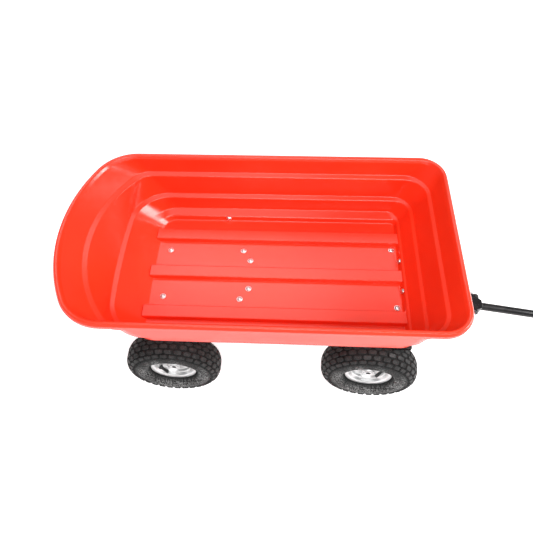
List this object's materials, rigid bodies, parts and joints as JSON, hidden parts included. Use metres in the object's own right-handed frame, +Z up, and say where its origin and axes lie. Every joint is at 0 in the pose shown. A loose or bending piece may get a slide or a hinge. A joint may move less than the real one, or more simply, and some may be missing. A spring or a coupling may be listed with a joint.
{
  "type": "tow behind cart",
  "caption": "Garden tow cart: ribbed red plastic tipping tub with rolled rim on a black steel frame, pneumatic wheels, steered front axle and a long pull handle with a tow jaw.",
  "frame": {"origin": "on the ground, under the middle of the whole cart's bounding box", "axes": "+X towards the handle and towing end, +Y to the cart's left, +Z up"},
  "size_m": [1.9989, 0.529, 0.4755],
  "materials": {
    "red_plastic": "semi-gloss moulded",
    "black_steel": "satin black powder coat",
    "zinc_steel": "bright zinc plated",
    "silver_rim": "bright silver lacquer",
    "tyre_rubber": "matt black rubber",
    "black_plastic": "textured black"
  },
  "bodies": {
    "chassis": {"chassis_spine": "black_steel", "rear_hinge_bracket": "black_steel", "tub_hinge_pin": "zinc_steel", "rear_axle_beam": "black_steel", "rear_axle": "zinc_steel", "rear_gusset_left": "black_steel", "rear_gusset_right": "black_steel", "turntable_upper_plate": "black_steel", "bed_rest_post": "black_steel", "bed_rest_pad": "tyre_rubber", "latch_bracket": "black_steel", "latch_bolt": "zinc_steel"},
    "tub_body": {"tub": "red_plastic", "tub_rail_left": "black_steel", "tub_rail_right": "black_steel", "tub_front_cross": "black_steel", "tub_middle_cross": "black_steel", "tub_latch_plate": "black_steel", "tub_hinge_left": "black_steel", "tub_hinge_right": "black_steel", "striker_bracket": "black_steel", "striker_pin": "zinc_steel", "tub_bolt_rear_left": "zinc_steel", "tub_bolt_rear_right": "zinc_steel", "tub_bolt_middle_left": "zinc_steel", "tub_bolt_middle_right": "zinc_steel", "tub_bolt_inner_left": "zinc_steel", "tub_bolt_inner_right": "zinc_steel", "tub_bolt_front_left": "zinc_steel", "tub_bolt_front_right": "zinc_steel"},
    "latch": {"dump_latch": "black_steel", "latch_grip": "black_plastic"},
    "front_truck": {"front_axle_beam": "black_steel", "front_axle": "zinc_steel", "turntable_lower_plate": "black_steel", "kingpin": "zinc_steel", "drawbar_left": "black_steel", "drawbar_right": "black_steel", "handle_stop": "black_steel", "handle_pivot_bolt": "zinc_steel"},
    "handle": {"handle_yoke": "black_steel", "handle_tube": "black_steel", "hitch_clevis": "black_steel", "grip_bolt": "zinc_steel"},
    "hitch_pin": {"hitch_pin": "zinc_steel"},
    "grip": {"grip_loop": "black_steel", "grip_sleeve": "black_plastic"},
    "wheel_rear_left": {"tyre_rear_left": "tyre_rubber", "rim_rear_left": "silver_rim", "bearing_rear_left": "black_plastic"},
    "wheel_rear_right": {"tyre_rear_right": "tyre_rubber", "rim_rear_right": "silver_rim", "bearing_rear_right": "black_plastic"},
    "wheel_front_left": {"tyre_front_left": "tyre_rubber", "rim_front_left": "silver_rim", "bearing_front_left": "black_plastic"},
    "wheel_front_right": {"tyre_front_right": "tyre_rubber", "rim_front_right": "silver_rim", "bearing_front_right": "black_plastic"}
  },
  "joints": [
    {"name": "wheel_rear_left_spin", "type": "hinge", "parent": "chassis", "child": "wheel_rear_left", "pos_m": [-0.73951, 0.197, 0.13], "axis": [0, 1, 0], "continuous": true},
    {"name": "wheel_rear_right_spin", "type": "hinge", "parent": "chassis", "child": "wheel_rear_right", "pos_m": [-0.73951, -0.197, 0.13], "axis": [0, 1, 0], "continuous": true},
    {"name": "wheel_front_left_spin", "type": "hinge", "parent": "front_truck", "child": "wheel_front_left", "pos_m": [-0.17105, 0.19639, 0.13], "axis": [0.0785, 0.9969, 0], "continuous": true},
    {"name": "wheel_front_right_spin", "type": "hinge", "parent": "front_truck", "child": "wheel_front_right", "pos_m": [-0.20196, -0.19639, 0.13], "axis": [0.0785, 0.9969, 0], "continuous": true},
    {"name": "steering", "type": "hinge", "parent": "chassis", "child": "front_truck", "pos_m": [-0.18651, 0, 0.15], "axis": [0, 0, 1], "range_deg": [-30.5, 39.5]},
    {"name": "handle_lift", "type": "hinge", "parent": "front_truck", "child": "handle", "pos_m": [0.08964, -0.02173, 0.185], "axis": [-0.0785, -0.9969, 0], "range_deg": [0, 90]},
    {"name": "grip_fold", "type": "hinge", "parent": "handle", "child": "grip", "pos_m": [0.85108, -0.08166, 0.10472], "axis": [-0.0785, -0.9969, 0], "range_deg": [0, 165]},
    {"name": "hitch_pin_pull", "type": "slide", "parent": "handle", "child": "hitch_pin", "axis": [0.1042, -0.0082, 0.9945], "range_m": [0, 0.045]},
    {"name": "tub_dump", "type": "hinge", "parent": "chassis", "child": "tub_body", "pos_m": [-0.81451, 0, 0.245], "axis": [0, -1, 0], "range_deg": [0, 75]},
    {"name": "latch_swing", "type": "hinge", "parent": "chassis", "child": "latch", "pos_m": [-0.22751, 0, 0.2035], "axis": [0, -1, 0], "range_deg": [-13, 0]}
  ]
}
